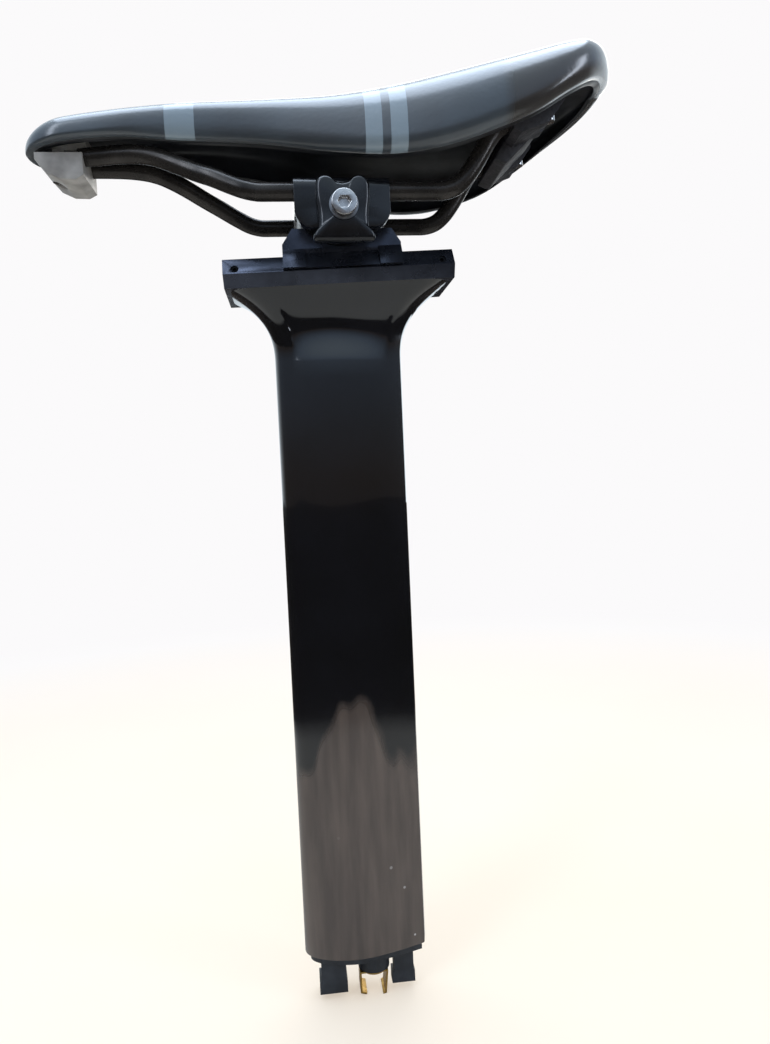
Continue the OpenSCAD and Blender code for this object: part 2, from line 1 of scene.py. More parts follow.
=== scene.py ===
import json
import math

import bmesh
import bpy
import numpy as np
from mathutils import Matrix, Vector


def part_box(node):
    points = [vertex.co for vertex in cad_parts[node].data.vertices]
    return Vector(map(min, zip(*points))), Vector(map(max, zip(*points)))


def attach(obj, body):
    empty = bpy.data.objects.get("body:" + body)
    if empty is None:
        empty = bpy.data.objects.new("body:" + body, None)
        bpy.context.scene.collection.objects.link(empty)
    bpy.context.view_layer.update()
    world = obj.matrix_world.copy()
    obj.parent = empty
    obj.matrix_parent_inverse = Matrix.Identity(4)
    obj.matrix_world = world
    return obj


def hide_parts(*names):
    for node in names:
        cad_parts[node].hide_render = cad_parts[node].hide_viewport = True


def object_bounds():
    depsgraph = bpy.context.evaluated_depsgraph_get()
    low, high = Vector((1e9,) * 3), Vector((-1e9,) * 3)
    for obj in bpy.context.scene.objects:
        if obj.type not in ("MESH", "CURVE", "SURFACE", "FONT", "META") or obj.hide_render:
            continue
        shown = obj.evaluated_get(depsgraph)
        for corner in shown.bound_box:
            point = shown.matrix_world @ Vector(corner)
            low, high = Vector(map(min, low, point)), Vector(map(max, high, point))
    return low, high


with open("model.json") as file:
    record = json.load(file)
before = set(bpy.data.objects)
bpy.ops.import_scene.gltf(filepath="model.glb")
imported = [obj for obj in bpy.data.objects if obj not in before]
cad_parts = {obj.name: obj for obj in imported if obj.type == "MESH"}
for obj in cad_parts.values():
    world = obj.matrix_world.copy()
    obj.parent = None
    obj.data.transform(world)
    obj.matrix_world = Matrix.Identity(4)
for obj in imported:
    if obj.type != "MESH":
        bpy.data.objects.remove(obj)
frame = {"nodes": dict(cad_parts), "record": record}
CAD_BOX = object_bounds()

bl_info = {
    "name": "Aero seatpost with saddle",
    "version": (1, 0, 0),
    "blender": (4, 5, 0),
    "location": "View3D > Sidebar > Seatpost",
    "description": "Builds the finished surfaces of an aero seatpost, its clamp and its saddle",
    "category": "Object",
}

MM = 0.001
LOOKS = {}                            # finishes by slot, filled by main
# Middle of the clamp along the saddle, the axis it tilts on, and its bolt, in metres.
CLAMP_X = (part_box("clamp_rocker")[0][0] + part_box("clamp_rocker")[1][0]) / 2
AXIS_Z = next(j for j in frame["record"]["behaviour"]["joints"] if j["name"] == "saddle_tilt")["pos_m"][2]
BOLT_Z = (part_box("clamp_bolt")[0][2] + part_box("clamp_bolt")[1][2]) / 2
POST_LOW, POST_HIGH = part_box("post")
SCOOP = 0.0034                        # depth of the scoop in each face of the flare
SQUARENESS = 7                        # power of the rounded rectangle that the flare grows to
FLARE_POWER = 2.7                     # how late the flare opens on its way up
HOLLOW = 0.78                         # share of the flare's height that is hollow
SMOOTH_ANGLE = 38                     # edges sharper than this stay crisp, in degrees


# ---------------------------------------------------------------- meshes
def surface(name, grid, around=True):
    """A mesh through a grid of points: rows by columns, with the columns closed into a ring when
    around is set. Points that fall together are merged, which closes poles, and the faces are
    turned outwards."""
    rows, cols = grid.shape[:2]
    row = np.arange(rows - 1)[:, None]
    col = np.arange(cols if around else cols - 1)[None, :]
    after = (col + 1) % cols
    quads = np.stack([row * cols + col, row * cols + after,
                      (row + 1) * cols + after, (row + 1) * cols + col], axis=-1).reshape(-1, 4)
    mesh = bpy.data.meshes.new(name)
    mesh.from_pydata(grid.reshape(-1, 3).tolist(), [], quads.tolist())
    work = bmesh.new()
    work.from_mesh(mesh)
    bmesh.ops.remove_doubles(work, verts=work.verts, dist=2e-6)
    bmesh.ops.dissolve_degenerate(work, edges=work.edges, dist=1e-7)
    bmesh.ops.recalc_face_normals(work, faces=work.faces)
    work.to_mesh(mesh)
    work.free()
    mesh.shade_smooth()
    mesh.set_sharp_from_angle(angle=math.radians(SMOOTH_ANGLE))
    piece = bpy.data.objects.new(name, mesh)
    bpy.context.scene.collection.objects.link(piece)
    return piece


def finish_piece(piece, body, look, replaced=()):
    """Rides the piece on its body and the nodes it stands for, and paints it."""
    piece.data.materials.append(look)
    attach(piece, body)
    if replaced:
        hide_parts(*replaced)


def smooth_table(table, x):
    """Value at each x of a smooth curve through the table's pairs: cubic Hermite pieces whose
    slope at a point is the mean of the slopes on its two sides."""
    knots, values = np.array(table, dtype=float).T
    steps = np.diff(values) / np.diff(knots)
    slopes = np.concatenate([steps[:1], (steps[1:] + steps[:-1]) / 2, steps[-1:]])
    i = np.clip(np.searchsorted(knots, x) - 1, 0, len(knots) - 2)
    h = knots[i + 1] - knots[i]
    s = np.clip((x - knots[i]) / h, 0, 1)
    return ((2 * s**3 - 3 * s**2 + 1) * values[i] + (s**3 - 2 * s**2 + s) * h * slopes[i]
            + (3 * s**2 - 2 * s**3) * values[i + 1] + (s**3 - s**2) * h * slopes[i + 1])


# ---------------------------------------------------------------- materials
def linear(code):
    """A colour written as sRGB hex, turned to linear light, with alpha 1."""
    parts = [int(code[k:k + 2], 16) / 255 for k in (1, 3, 5)]
    return [c / 12.92 if c <= 0.04045 else ((c + 0.055) / 1.055) ** 2.4 for c in parts] + [1.0]


def grey(value):
    """An even grey with alpha 1."""
    return (value, value, value, 1.0)


def add(tree, kind, links=(), stops=(), **settings):
    """Adds a node and sets its properties and its sockets by name. Each pair in links is a socket's
    name or number and what goes in: another node's socket or a plain value. Each pair in stops is
    a colour stop's position and its linear colour."""
    node = tree.nodes.new(kind)
    for key, value in settings.items():
        if hasattr(node, key):
            setattr(node, key, value)
        else:
            node.inputs[key.replace("_", " ")].default_value = value
    for socket, source in links:
        if isinstance(source, bpy.types.NodeSocket):
            tree.links.new(source, node.inputs[socket])
        else:
            node.inputs[socket].default_value = source
    if stops:
        first, last = node.color_ramp.elements
        first.position, first.color = stops[0]
        last.position, last.color = stops[-1]
        for position, colour in stops[1:-1]:
            node.color_ramp.elements.new(position).color = colour
    return node


def new_material(name, **shader):
    """A material with one Principled shader; shader gives the sockets that are even all over."""
    look = bpy.data.materials.new(name)
    look.use_nodes = True
    tree = look.node_tree
    tree.nodes.clear()
    body = add(tree, "ShaderNodeBsdfPrincipled", **shader)
    add(tree, "ShaderNodeOutputMaterial", [("Surface", body.outputs[0])])
    place = add(tree, "ShaderNodeTexCoord").outputs["Object"]
    return look, tree, body, place


def speckled(name, dark, light, size_mm, rough, grain_mm, depth_mm, **shader):
    """A finish whose colour drifts between dark and light in patches of size_mm, whose roughness
    runs between the two values of rough, and whose surface has a fine grain."""
    look, tree, body, place = new_material(name, **shader)
    patches = add(tree, "ShaderNodeTexNoise", [("Vector", place)], Scale=1 / (size_mm * MM), Detail=3.0)
    colour = add(tree, "ShaderNodeValToRGB", [("Fac", patches.outputs["Fac"])],
                 [(0.3, linear(dark)), (0.7, linear(light))])
    smears = add(tree, "ShaderNodeTexNoise", [("Vector", place)], Scale=1 / (size_mm * 0.6 * MM), Detail=3.0)
    shine = add(tree, "ShaderNodeValToRGB", [("Fac", smears.outputs["Fac"])],
                [(0.3, grey(rough[0])), (0.7, grey(rough[1]))])
    grain = add(tree, "ShaderNodeTexNoise", [("Vector", place)], Scale=1 / (grain_mm * MM), Detail=2.0)
    relief = add(tree, "ShaderNodeBump", [("Height", grain.outputs["Fac"])], Strength=1.0,
                 Distance=depth_mm * MM)
    tree.links.new(colour.outputs["Color"], body.inputs["Base Color"])
    tree.links.new(shine.outputs["Color"], body.inputs["Roughness"])
    tree.links.new(relief.outputs[0], body.inputs["Normal"])
    return look


def carbon_post_look(sizes):
    """Moulded carbon fibre under clear coat: black with a deep gloss above, and below it a satin
    stretch painted warm brown in fine lengthways streaks, a painted reflection of the floor, and
    a few pale chips near the end."""
    look, tree, body, place = new_material("clear-coated moulded carbon", Coat_Weight=1.0,
                                           Coat_Roughness=0.03, IOR=1.45)
    height = add(tree, "ShaderNodeSeparateXYZ", [("Vector", place)]).outputs["Z"]
    # The line between the two stretches wanders with patches of about 26 mm.
    stretched = add(tree, "ShaderNodeMapping", [("Vector", place)], Scale=(1, 1, 0.35)).outputs[0]
    drift = add(tree, "ShaderNodeTexNoise", [("Vector", stretched)], Scale=1 / (26 * MM), Detail=2.0)
    wander = add(tree, "ShaderNodeMath", [(0, drift.outputs["Fac"]), (1, 0.10), (2, height)],
                 operation="MULTIPLY_ADD")
    edge = sizes.satin_and_reflection_line + 0.05
    zone = add(tree, "ShaderNodeMapRange", [("Value", wander.outputs[0])], From_Min=edge - 0.004,
               From_Max=edge + 0.006).outputs[0]
    depth = add(tree, "ShaderNodeTexNoise", [("Vector", place)], Scale=1 / (30 * MM), Detail=2.0)
    upper = add(tree, "ShaderNodeValToRGB", [("Fac", depth.outputs["Fac"])],
                [(0.3, linear("#050608")), (0.7, linear("#0b0c10"))])
    # Painted reflection: below the line the post is coloured warm brown in lengthways streaks, standing in
    # for the floor seen in the gloss.
    lengthways = add(tree, "ShaderNodeMapping", [("Vector", place)], Scale=(1, 1, 0.12)).outputs[0]
    reflection_streaks = add(tree, "ShaderNodeTexNoise", [("Vector", lengthways)], Scale=1 / (5 * MM), Detail=4.0)
    painted_floor_reflection = add(tree, "ShaderNodeValToRGB", [("Fac", reflection_streaks.outputs["Fac"])],
                 [(0.35, linear("#40352f")), (0.7, linear("#54473f"))])
    colour = add(tree, "ShaderNodeMix", [("Factor", zone), ("A", painted_floor_reflection.outputs["Color"]),
                                         ("B", upper.outputs["Color"])], data_type="RGBA")
    low = add(tree, "ShaderNodeMapRange", [("Value", height)], From_Min=0.055, From_Max=0.0).outputs[0]
    spots = add(tree, "ShaderNodeTexVoronoi", [("Vector", place)], Scale=1 / (9 * MM)).outputs["Distance"]
    chip = add(tree, "ShaderNodeMapRange", [("Value", spots)], From_Min=0.085, From_Max=0.06).outputs[0]
    chip = add(tree, "ShaderNodeMath", [(0, chip), (1, low)], operation="MULTIPLY").outputs[0]
    # Pale chips go over the painted floor reflection near the bottom end.
    chips_over_painted_reflection = add(tree, "ShaderNodeMix", [("Factor", chip), ("A", colour.outputs["Result"]),
                                       ("B", linear("#b7b0ac"))], data_type="RGBA")
    shine = add(tree, "ShaderNodeValToRGB", [("Fac", zone)], [(0.0, grey(0.34)), (1.0, grey(0.12))])
    waves = add(tree, "ShaderNodeMapping", [("Vector", place)], Scale=(1, 1, 0.3)).outputs[0]
    swell = add(tree, "ShaderNodeTexNoise", [("Vector", waves)], Scale=1 / (14 * MM), Detail=2.0)
    relief = add(tree, "ShaderNodeBump", [("Height", swell.outputs["Fac"])], Strength=1.0,
                 Distance=0.05 * MM)
    tree.links.new(chips_over_painted_reflection.outputs["Result"], body.inputs["Base Color"])
    tree.links.new(shine.outputs["Color"], body.inputs["Roughness"])
    tree.links.new(relief.outputs[0], body.inputs["Coat Normal"])
    return look


# Where the bands across the saddle begin and end, along it, in metres.
BANDS = ((-0.062, -0.051), (0.0115, 0.0175), (0.0205, 0.0265))


def cover_look(sizes):
    """Microfibre saddle cover with a smooth coat: a fine pebble grain, plain glossy bands across
    it, and a glossy dark tail."""
    look, tree, body, place = new_material("coated microfibre cover", Coat_Weight=1.0,
                                           Coat_Roughness=0.2, Sheen_Weight=0.1)
    along = add(tree, "ShaderNodeSeparateXYZ", [("Vector", place)]).outputs["X"]
    patches = add(tree, "ShaderNodeTexNoise", [("Vector", place)], Scale=1 / (22 * MM), Detail=3.0)
    base = add(tree, "ShaderNodeValToRGB", [("Fac", patches.outputs["Fac"])],
               [(0.3, linear("#262b30")), (0.7, linear("#30383f"))])
    bands = None
    for first, last in BANDS:
        band = add(tree, "ShaderNodeMath", [(0, along), (1, (first + last) / 2), (2, (last - first) / 2)],
                   operation="COMPARE").outputs[0]
        if bands:
            band = add(tree, "ShaderNodeMath", [(0, bands), (1, band)], operation="MAXIMUM").outputs[0]
        bands = band
    tail = add(tree, "ShaderNodeMapRange", [("Value", along)], From_Min=0.060, From_Max=0.064).outputs[0]
    tinted = add(tree, "ShaderNodeMix", [("Factor", bands), ("A", base.outputs["Color"]),
                                         ("B", linear(sizes.band_hex))], data_type="RGBA")
    glossy_tail = add(tree, "ShaderNodeMix", [("Factor", tail), ("A", tinted.outputs["Result"]),
                                              ("B", linear("#262321"))], data_type="RGBA")
    either = add(tree, "ShaderNodeMath", [(0, bands), (1, tail)], operation="MAXIMUM").outputs[0]
    shine = add(tree, "ShaderNodeValToRGB", [("Fac", either)], [(0.0, grey(0.42)), (1.0, grey(0.26))])
    pebbles = add(tree, "ShaderNodeTexVoronoi", [("Vector", place)], Scale=1 / (1.3 * MM),
                  feature="SMOOTH_F1")
    relief = add(tree, "ShaderNodeBump", [("Height", pebbles.outputs["Distance"])], Strength=1.0,
                 Distance=0.06 * MM)
    tree.links.new(glossy_tail.outputs["Result"], body.inputs["Base Color"])
    tree.links.new(shine.outputs["Color"], body.inputs["Roughness"])
    tree.links.new(relief.outputs[0], body.inputs["Normal"])
    return look


def make_looks(scene):
    """Every finish of the object by name."""
    return {
        "post_carbon": carbon_post_look(scene.post_sizes),
        # Satin black anodised aluminium: a dark metal whose film scatters light softly.
        "rail_alloy": speckled("black anodised aluminium", "#343740", "#474b57", 12, (0.24, 0.36), 0.5,
                               0.01, Metallic=0.85),
        # Bead-blasted and anodised forging with a slight gloss.
        "clamp_alloy": speckled("gloss black anodised forging", "#0e0f11", "#191a1e", 9, (0.16, 0.30), 0.6,
                                0.012, Metallic=0.35, Coat_Weight=0.5, Coat_Roughness=0.12),
        # Bright zinc-plated steel screws.
        "bolt_steel": speckled("zinc-plated steel", "#b9b7b6", "#dcdad8", 3, (0.18, 0.32), 0.3, 0.006,
                               Metallic=1.0),
        "washer_steel": speckled("plain steel", "#8f9094", "#acadb0", 3, (0.28, 0.42), 0.3, 0.008,
                                 Metallic=1.0),
        "stop_steel": speckled("black oxide steel", "#17181a", "#26272a", 2, (0.3, 0.45), 0.3, 0.008,
                               Metallic=0.7),
        # Drawn brass, a little dulled.
        "brass": speckled("drawn brass", "#a9823f", "#d2ab63", 3, (0.22, 0.4), 0.4, 0.01, Metallic=1.0),
        # Moulded nylon: matt with a fine spark-eroded texture.
        "plug_plastic": speckled("moulded black nylon", "#1b1d21", "#2b2e34", 8, (0.42, 0.6), 0.5, 0.02),
        # Bent steel bar under a dark satin coat.
        "saddle_rail_steel": speckled("dark satin coated rail", "#2a2725", "#3d3936", 10, (0.2, 0.34), 0.4,
                                      0.008, Metallic=0.6),
        "clip_plastic": speckled("moulded grey nylon", "#6f6b68", "#94908c", 7, (0.38, 0.55), 0.5, 0.02),
        "socket_plastic": speckled("glass-filled nylon", "#17161a", "#29262a", 3, (0.5, 0.7), 1.2, 0.16),
        "shell_plastic": speckled("carbon-filled nylon shell", "#0f1012", "#1b1c20", 14, (0.3, 0.48), 0.5,
                                  0.015),
        "cover": cover_look(scene.saddle_sizes),
    }


# ---------------------------------------------------------------- settings
class PostSizes(bpy.types.PropertyGroup):
    chord: bpy.props.FloatProperty(name="Chord", description="Front to back of the aero section",
                                   default=0.0518, unit="LENGTH")
    thickness: bpy.props.FloatProperty(name="Thickness", description="Widest part of the aero section",
                                       default=0.022, unit="LENGTH")
    wall: bpy.props.FloatProperty(name="Wall", description="Carbon wall of the tube", default=0.0022,
                                  unit="LENGTH")
    flare: bpy.props.FloatProperty(name="Flare", description="Height of the flare under the head rail",
                                   default=0.0285, unit="LENGTH")
    tilt: bpy.props.FloatProperty(name="Head tilt", description="Rise of the head rail to the tail",
                                  default=math.radians(1.9), subtype="ANGLE")
    # Below this height the post is satin and also painted brown, a painted reflection of the floor.
    satin_and_reflection_line: bpy.props.FloatProperty(name="Satin and reflection line", unit="LENGTH", default=0.088,
                                         description="Height of the satin stretch that goes in the frame")


class SaddleSizes(bpy.types.PropertyGroup):
    half_width: bpy.props.FloatProperty(name="Half width", description="Widest half of the saddle",
                                        default=0.048, unit="LENGTH")
    cover: bpy.props.FloatProperty(name="Cover", description="Thickness of cover and foam at the rim",
                                   default=0.0027, unit="LENGTH")
    rail: bpy.props.FloatProperty(name="Rail", description="Diameter of the saddle rails", default=0.007,
                                  unit="LENGTH")
    band_hex: bpy.props.StringProperty(name="Band", description="Colour of the bands, sRGB hex",
                                       default="#6a767e")


# ---------------------------------------------------------------- post
def foil(share, sizes, inset):
    """Points of the aero section. share runs 0 to 1 round the outline from the nose: the chord
    position is 1 - cos of a quarter turn, so points crowd at the nose; the half-thickness is a
    quarter ellipse up to 44% of the chord and falls as a power of 1.45 to the cut-off tail."""
    widest, tail = 0.44, 0.27
    side = np.where(share < 0.5, -1.0, 1.0)
    run = np.where(share < 0.5, share * 2, 2 - share * 2)
    u = 1 - np.cos(run * math.pi / 2)
    front = np.sqrt(np.clip(1 - ((widest - u) / widest) ** 2, 0, 1))
    rear = 1 - (1 - tail) * np.clip((u - widest) / (1 - widest), 0, 1) ** 1.45
    half = np.where(u < widest, front, rear) * (sizes.thickness / 2 - inset)
    return (sizes.chord - 2 * inset) * (u - 0.5), side * half


class SEATPOST_OT_post(bpy.types.Operator):
    """Builds the post: the aero tube, its flare up to the head rail, and its inner wall"""
    bl_idname = "seatpost.post"
    bl_label = "Post"

    def execute(self, context):
        sizes = context.scene.post_sizes
        tube = POST_HIGH[2] - sizes.flare - POST_HIGH[0] * math.tan(sizes.tilt)
        middle = (POST_LOW[0] + POST_HIGH[0]) / 2
        half_len = (POST_HIGH[0] - POST_LOW[0]) / 2
        half_wide = (POST_HIGH[1] - POST_LOW[1]) / 2
        sides = 72
        share = np.concatenate([np.linspace(0, 0.5, sides), np.linspace(0.5001, 1, sides)[:-1]])

        def ring(height, grow, inset):
            """The section, moved out by the share grow ** FLARE_POWER to a rounded rectangle, with a scoop
            pressed into each face between two ridges."""
            x, y = foil(share, sizes, inset)
            a, b = half_len - inset, half_wide - inset
            px, py = x / sizes.chord * 2 * a, y / sizes.thickness * 2 * b
            m = (np.abs(px / a) ** SQUARENESS + np.abs(py / b) ** SQUARENESS) ** (1 / SQUARENESS)
            k = grow ** FLARE_POWER
            x = x + (px / m + middle - x) * k
            y = y + (py / m - y) * k
            ridge = np.clip(1 - (x - middle * grow) ** 2 / (0.36 * np.ptp(x)) ** 2, 0, 1)
            fade = math.sin(math.pi * min(1, grow * 1.04)) ** 1.5
            y = y - np.sign(y) * SCOOP * fade * ridge ** 0.55
            return np.stack([x, y, height + grow * x * math.tan(sizes.tilt)], axis=1)

        def hub(x, height):
            """A ring whose points all fall on the middle line, which closes a cap."""
            return np.tile([x, 0.0, height], (len(share), 1))

        rows = [hub(middle, tube + sizes.flare + middle * math.tan(sizes.tilt))]
        rows += [ring(tube + sizes.flare * s, s, 0) for s in np.linspace(1, 0, 30)]
        rows += [ring(z, 0, 0) for z in np.linspace(tube, 0.0008, 40)[1:]]
        rows += [ring(0.0002, 0, 0.0002), ring(0, 0, 0.0007), ring(0, 0, sizes.wall - 0.0004),
                 ring(0.0004, 0, sizes.wall)]
        rows += [ring(z, 0, sizes.wall) for z in np.linspace(0.02, tube, 8)]
        rows += [ring(tube + sizes.flare * s, s, sizes.wall) for s in np.linspace(0.1, HOLLOW, 8)]
        rows += [hub(0.0, tube + sizes.flare * HOLLOW)]
        piece = surface("post_shell", np.array(rows))
        finish_piece(piece, "post", LOOKS["post_carbon"], ["post"])
        return {"FINISHED"}


# ---------------------------------------------------------------- saddle
# Along the saddle from the clamp's middle, in mm: half-width as a share, and heights over the rails.
WIDTH = [(-120, 0.36), (-97, 0.375), (-64, 0.41), (-29, 0.50), (-1, 0.65), (22, 0.80), (42, 0.92),
         (60, 0.99), (72, 1), (84, 0.965), (97, 0.86), (112, 0.7)]
EDGE = [(-120, 21), (-97, 24), (-64, 27), (-29, 24.6), (-1, 18.8), (22, 15.2), (40, 16.6), (60, 22.4),
        (72, 27.6), (84, 35), (97, 42), (112, 46)]
CROWN = [(-120, 29), (-97, 33.6), (-64, 37), (-29, 38), (-1, 38.6), (22, 41), (42, 44.2), (60, 47.4),
         (72, 49.8), (84, 52.4), (97, 55.2), (112, 57)]
RIM = [(-120, 19.4), (-97, 22.4), (-80, 23), (-64, 21.6), (-29, 18.4), (-1, 13), (22, 10), (40, 11.4),
       (60, 17), (72, 22), (84, 29.4), (97, 37), (112, 42)]
ROUND_NOSE, ROUND_TAIL = 17.0, 22.0
SHOULDER, TUCK = 0.72, 0.1            # share of a half section over the edge, and how far it turns in
LIP = 0.35                            # how far the rounded rim hangs below the two skins, in mm
# Insets past the pad, drop from the crown and lift of the rim of the shell's two skins, in mm.
PAD_UNDERSIDE = (0.0, 6.6, 0.2)
SHELL_OUTSIDE = (0.08, 6.7, -0.5)
SHELL_INSIDE = (2.2, 8.8, -0.3)
SADDLE_X = tuple((corner[0] - CLAMP_X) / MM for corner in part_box("saddle_cover"))


def saddle_skin(x, u, inset, drop, lift, half_width):
    """Points of a saddle surface. x runs along the saddle and u from -1 to 1 across it. Up to the
    shoulder the section is a squared arch from the widest edge to the crown, and past it the skin
    turns in under the edge to the rim. Both shrink as a quarter circle at the nose and the tail."""
    low, high = SADDLE_X
    nose_in = np.clip((ROUND_NOSE + low + inset - x) / ROUND_NOSE, 0, 1)
    tail_in = np.clip((x - high + inset + ROUND_TAIL) / ROUND_TAIL, 0, 1)
    ends = np.sqrt(np.clip(1 - nose_in**2, 0, 1)) * np.sqrt(np.clip(1 - tail_in**2, 0, 1))
    edge = smooth_table(EDGE, x)
    tall = smooth_table(CROWN, x) - edge
    wide = (half_width * smooth_table(WIDTH, x) - inset) * ends
    up = tall * np.exp(-drop / tall) * ends
    down = (edge - smooth_table(RIM, x) - lift) * ends
    a = np.abs(u)
    over = np.clip(a / SHOULDER, 0, 1) * math.pi / 2
    under = np.clip((a - SHOULDER) / (1 - SHOULDER), 0, 1) * math.pi / 2
    y = np.sign(u) * wide * np.sin(over) ** 0.66 * (1 - TUCK * (1 - np.cos(under)))
    z = edge + up * np.clip(np.cos(over), 0, 1) ** 0.74 - down * np.sin(under)
    return np.stack([np.broadcast_to(x, y.shape), y, z], axis=-1)


def saddle_layer(name, outer, inner, half_width):
    """A closed layer between two saddle skins: round the outer one from rim to rim and back along
    the inner one, with small rounded lips where they meet."""
    rows, cols = 120, 90
    turn = -np.cos(np.linspace(0, math.pi, rows))[:, None]
    across = np.linspace(-1, 1, cols)[None, :]
    u = np.sin(across * math.pi / 2) * 0.35 + across * 0.65

    def skin(inset, drop, lift):
        low, high = SADDLE_X[0] + inset, SADDLE_X[1] - inset
        x = (low + high) / 2 + turn * (high - low) / 2
        return saddle_skin(x, u, inset, drop, lift, half_width)

    far, near = skin(*outer), skin(*inner)[:, ::-1]
    lip_a = (far[:, -1:] * 0.5 + near[:, :1] * 0.5) - np.array([0, 0, LIP])
    lip_b = (far[:, :1] * 0.5 + near[:, -1:] * 0.5) - np.array([0, 0, LIP])
    grid = np.concatenate([far, lip_a, near, lip_b], axis=1) * MM
    return surface(name, grid + np.array([CLAMP_X, 0, AXIS_Z]))


class SEATPOST_OT_saddle(bpy.types.Operator):
    """Builds the saddle's padded cover and the shell under it"""
    bl_idname = "seatpost.saddle"
    bl_label = "Saddle"

    def execute(self, context):
        sizes = context.scene.saddle_sizes
        half = sizes.half_width / MM
        pad = sizes.cover / MM
        under, outside, inside = [(pad + inset, drop, lift) for inset, drop, lift in
                                  (PAD_UNDERSIDE, SHELL_OUTSIDE, SHELL_INSIDE)]
        top = saddle_layer("saddle_top", (0, 0, 0), under, half)
        finish_piece(top, "saddle", LOOKS["cover"], ["saddle_cover", "saddle_foam"])
        shell = saddle_layer("saddle_base", outside, inside, half)
        finish_piece(shell, "saddle", LOOKS["shell_plastic"], ["saddle_shell"])
        return {"FINISHED"}


# ---------------------------------------------------------------- rails
# A saddle rail's middle line from the clamp, in mm: along, out from the middle, up.
RAIL_LINE = [(-98.5, 5.8, 18.8), (-90, 6.8, 19.1), (-82, 8.1, 19.2), (-75.5, 9.3, 18.7), (-71, 10.2, 17.7),
             (-66.5, 11.2, 16), (-61, 12.7, 13.4), (-54.7, 15, 10.1), (-48, 17.9, 6.9), (-41.2, 20.1, 3.4),
             (-36, 21.6, 1.1), (-31.7, 22, 0.1), (-30, 22, 0), (-28.5, 22, 0), (0, 22, 0), (34, 22, 0),
             (36, 22, 0), (37.8, 22, 0), (41, 22, 0.5), (44.4, 22, 1.9), (48, 22, 5), (51.4, 22, 9.3),
             (54.6, 22, 14.1), (57.6, 22, 18.9), (60.6, 22, 22.6), (64.4, 22, 25.2), (69, 22, 26.6),
             (76, 22, 27.6)]
RAIL_AIR = 0.05                       # taken off the bar's radius, in mm, to clear the faceted grooves


class SEATPOST_OT_rails(bpy.types.Operator):
    """Builds both saddle rails: a round bar carried along a smooth bent line"""
    bl_idname = "seatpost.rails"
    bl_label = "Saddle rails"

    def execute(self, context):
        radius = context.scene.saddle_sizes.rail / MM / 2 - RAIL_AIR
        line = np.array(RAIL_LINE, dtype=float)
        run = np.concatenate([[0], np.cumsum(np.linalg.norm(np.diff(line, axis=0), axis=1))])
        fine = np.linspace(0, run[-1], 260)
        path = np.stack([smooth_table(list(zip(run, line[:, k])), fine) for k in range(3)], axis=1)
        ahead = np.gradient(path, axis=0)
        ahead /= np.linalg.norm(ahead, axis=1)[:, None]
        side = np.cross(ahead, [0.0, 1.0, 0.0])
        side /= np.linalg.norm(side, axis=1)[:, None]
        third = np.cross(ahead, side)
        angle = np.linspace(0, 2 * math.pi, 33)[:-1]
        tube = (path[:, None] + radius * (np.cos(angle)[None, :, None] * side[:, None]
                                          + np.sin(angle)[None, :, None] * third[:, None]))
        first = np.repeat(path[:1, None], len(angle), axis=1)
        last = np.repeat(path[-1:, None], len(angle), axis=1)
        tube = np.concatenate([first, tube, last]) * MM
        for name, sign in (("near", -1), ("far", 1)):
            grid = tube * np.array([1, sign, 1]) + np.array([CLAMP_X, 0, AXIS_Z])
            piece = surface("rail_bar_" + name, grid)
            finish_piece(piece, "saddle",
                         LOOKS["saddle_rail_steel"], ["saddle_rail_" + name])
        return {"FINISHED"}


# ---------------------------------------------------------------- clamp plates
# Half outline of an outer plate from the bolt, in mm: along and up, top lobe to flared foot.
PLATE = [(0, 9.0), (2.6, 9.6), (4.9, 11.4), (7.6, 11.5), (9.8, 9.4), (10.1, 4), (9.5, -1), (9.3, -4),
         (9.6, -7.5), (11.5, -10.3), (10.9, -12.2), (6, -12.5), (0, -12.6)]
PLATE_EDGE = 2.2                      # radius of the plate's rounded edge, in mm
PLATE_SWELL = 1.0                     # how far its face swells to the middle, in mm


def slab(name, outline, inner, outer, edge, swell):
    """A plate from an outline of x and z points: its back is flat at inner, its side walls run out
    to a quarter-round edge, and its face swells outwards as 1 - r squared to the middle."""
    centre = np.array([0.0, -1.0])
    turn = np.linspace(0, math.pi / 2, 7)
    sign = 1 if outer > inner else -1
    reach = np.linalg.norm(outline - centre, axis=1)[:, None]
    rings = [(np.zeros_like(reach), inner), (reach - 0.3, inner), (reach, inner + sign * 0.3)]
    rings += [(reach - edge * (1 - np.cos(t)), outer - sign * (swell + edge * (1 - np.sin(t)))) for t in turn]
    rings += [((reach - edge) * r, outer - sign * swell * r * r) for r in np.linspace(0.92, 0, 10)]
    way = (outline - centre) / reach
    grid = [np.column_stack([(centre + way * r)[:, 0], np.full(len(way), y), (centre + way * r)[:, 1]])
            for r, y in rings]
    return surface(name, np.array(grid) * MM + np.array([CLAMP_X, 0, BOLT_Z]))


class SEATPOST_OT_plates(bpy.types.Operator):
    """Builds the clamp's two outer plates: two lobes on top, a waist and a flared foot"""
    bl_idname = "seatpost.plates"
    bl_label = "Clamp plates"

    def execute(self, context):
        half = np.array(PLATE, dtype=float)
        run = np.arange(len(half))
        fine = np.linspace(0, len(half) - 1, 90)
        right = np.stack([smooth_table(list(zip(run, half[:, k])), fine) for k in range(2)], axis=1)
        outline = np.concatenate([right, (right * [-1, 1])[-2:0:-1]])
        for name, side in (("near", 0), ("far", 1)):
            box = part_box("clamp_plate_" + name)
            inner, outer = (box[0][1], box[1][1]) if side else (box[1][1], box[0][1])
            piece = slab("outer_plate_" + name, outline, inner / MM, outer / MM, PLATE_EDGE, PLATE_SWELL)
            finish_piece(piece, "clamp", LOOKS["clamp_alloy"], ["clamp_plate_" + name])
        return {"FINISHED"}


